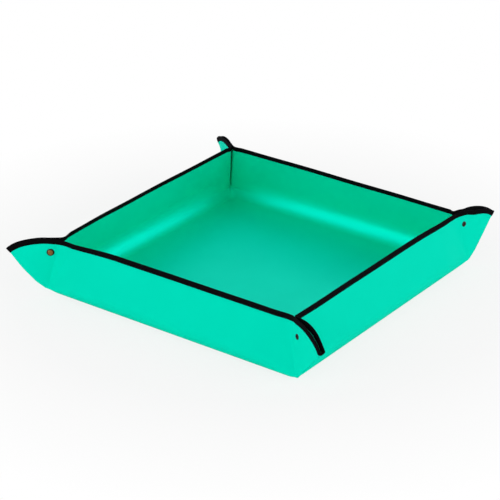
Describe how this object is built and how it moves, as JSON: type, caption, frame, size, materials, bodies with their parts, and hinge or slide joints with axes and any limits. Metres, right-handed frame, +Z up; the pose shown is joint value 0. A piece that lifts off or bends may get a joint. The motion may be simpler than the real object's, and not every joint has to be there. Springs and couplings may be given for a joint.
{
  "type": "repotting mat",
  "caption": "Square coated-cloth mat whose corners pinch into snapped ears, so that its sides stand up as a shallow potting tray, and which opens out flat.",
  "frame": {"origin": "the middle of the floor panel's underside", "axes": "+Z up, out of the tray's mouth; +X and +Y square to the walls, with the front wall towards -Y"},
  "size_m": [0.6108, 0.601, 0.104],
  "materials": {
    "coated_cloth": "turquoise green woven cloth with a smooth, semi-gloss waterproof coating",
    "edge_binding": "matte black woven binding tape, folded over the edge and stitched",
    "snap_brass": "antique brass snap fasteners"
  },
  "bodies": {
    "floor": {"floor_panel": "coated_cloth"},
    "front_side": {"front_wall": "coated_cloth", "front_rim_binding": "edge_binding"},
    "right_side": {"right_wall": "coated_cloth", "right_rim_binding": "edge_binding"},
    "back_side": {"back_wall": "coated_cloth", "back_rim_binding": "edge_binding"},
    "left_side": {"left_wall": "coated_cloth", "left_rim_binding": "edge_binding"},
    "front_side_left_ear": {"front_wall_left_ear": "coated_cloth", "front_wall_left_ear_binding": "edge_binding", "front_left_snap_cap": "snap_brass", "front_left_snap_socket": "snap_brass"},
    "front_side_right_ear": {"front_wall_right_ear": "coated_cloth", "front_wall_right_ear_binding": "edge_binding", "front_right_snap_stud": "snap_brass", "front_right_snap_eyelet": "snap_brass"},
    "right_side_left_ear": {"right_wall_left_ear": "coated_cloth", "right_wall_left_ear_binding": "edge_binding", "front_right_snap_cap": "snap_brass", "front_right_snap_socket": "snap_brass"},
    "right_side_right_ear": {"right_wall_right_ear": "coated_cloth", "right_wall_right_ear_binding": "edge_binding", "back_right_snap_stud": "snap_brass", "back_right_snap_eyelet": "snap_brass"},
    "back_side_left_ear": {"back_wall_left_ear": "coated_cloth", "back_wall_left_ear_binding": "edge_binding", "back_right_snap_cap": "snap_brass", "back_right_snap_socket": "snap_brass"},
    "back_side_right_ear": {"back_wall_right_ear": "coated_cloth", "back_wall_right_ear_binding": "edge_binding", "back_left_snap_stud": "snap_brass", "back_left_snap_eyelet": "snap_brass"},
    "left_side_left_ear": {"left_wall_left_ear": "coated_cloth", "left_wall_left_ear_binding": "edge_binding", "back_left_snap_cap": "snap_brass", "back_left_snap_socket": "snap_brass"},
    "left_side_right_ear": {"left_wall_right_ear": "coated_cloth", "left_wall_right_ear_binding": "edge_binding", "front_left_snap_stud": "snap_brass", "front_left_snap_eyelet": "snap_brass"}
  },
  "joints": [
    {"name": "front_side_fold", "type": "hinge", "parent": "floor", "child": "front_side", "pos_m": [0, -0.24803, 0.01097], "axis": [1, 0, 0], "range_deg": [0, 107.4]},
    {"name": "right_side_fold", "type": "hinge", "parent": "floor", "child": "right_side", "pos_m": [0.24803, 0, 0.01097], "axis": [0, 1, 0], "range_deg": [0, 107.4]},
    {"name": "back_side_fold", "type": "hinge", "parent": "floor", "child": "back_side", "pos_m": [0, 0.24803, 0.01097], "axis": [-1, 0, 0], "range_deg": [0, 107.4]},
    {"name": "left_side_fold", "type": "hinge", "parent": "floor", "child": "left_side", "pos_m": [-0.24803, 0, 0.01097], "axis": [0, -1, 0], "range_deg": [0, 107.4]},
    {"name": "front_side_left_ear_fold", "type": "hinge", "parent": "front_side", "child": "front_side_left_ear", "pos_m": [-0.24552, -0.24803, 0.01097], "axis": [-0.1924, -0.1924, -0.9623], "range_deg": [0, 40.2]},
    {"name": "front_side_right_ear_fold", "type": "hinge", "parent": "front_side", "child": "front_side_right_ear", "pos_m": [0.24536, -0.24803, 0.01097], "axis": [-0.1924, 0.1924, 0.9623], "range_deg": [0, 25.2]},
    {"name": "right_side_left_ear_fold", "type": "hinge", "parent": "right_side", "child": "right_side_left_ear", "pos_m": [0.24803, -0.24536, 0.01097], "axis": [0.1924, -0.1924, -0.9623], "range_deg": [0, 67.2]},
    {"name": "right_side_right_ear_fold", "type": "hinge", "parent": "right_side", "child": "right_side_right_ear", "pos_m": [0.24803, 0.24509, 0.01097], "axis": [-0.1924, -0.1924, 0.9623], "range_deg": [0, 14.2]},
    {"name": "back_side_left_ear_fold", "type": "hinge", "parent": "back_side", "child": "back_side_left_ear", "pos_m": [0.24509, 0.24803, 0.01097], "axis": [0.1924, 0.1924, -0.9623], "range_deg": [0, 78.2]},
    {"name": "back_side_right_ear_fold", "type": "hinge", "parent": "back_side", "child": "back_side_right_ear", "pos_m": [-0.2455, 0.24803, 0.01097], "axis": [0.1924, -0.1924, 0.9623], "range_deg": [0, 36.2]},
    {"name": "left_side_left_ear_fold", "type": "hinge", "parent": "left_side", "child": "left_side_left_ear", "pos_m": [-0.24803, 0.2455, 0.01097], "axis": [-0.1924, 0.1924, -0.9623], "range_deg": [0, 56.2]},
    {"name": "left_side_right_ear_fold", "type": "hinge", "parent": "left_side", "child": "left_side_right_ear", "pos_m": [-0.24803, -0.24552, 0.01097], "axis": [0.1924, 0.1924, 0.9623], "range_deg": [0, 52.2]}
  ],
  "couplings": [
    {"joint": "right_side_fold", "follows": "front_side_fold", "ratio": 1},
    {"joint": "back_side_fold", "follows": "front_side_fold", "ratio": 1},
    {"joint": "left_side_fold", "follows": "front_side_fold", "ratio": 1},
    {"joint": "front_side_left_ear_fold", "follows": "front_side_fold", "ratio": 0.37339},
    {"joint": "front_side_right_ear_fold", "follows": "front_side_fold", "ratio": 0.23372},
    {"joint": "right_side_left_ear_fold", "follows": "front_side_fold", "ratio": 0.62478},
    {"joint": "right_side_right_ear_fold", "follows": "front_side_fold", "ratio": 0.1313},
    {"joint": "back_side_left_ear_fold", "follows": "front_side_fold", "ratio": 0.7272},
    {"joint": "back_side_right_ear_fold", "follows": "front_side_fold", "ratio": 0.33614},
    {"joint": "left_side_left_ear_fold", "follows": "front_side_fold", "ratio": 0.52236},
    {"joint": "left_side_right_ear_fold", "follows": "front_side_fold", "ratio": 0.48512}
  ]
}
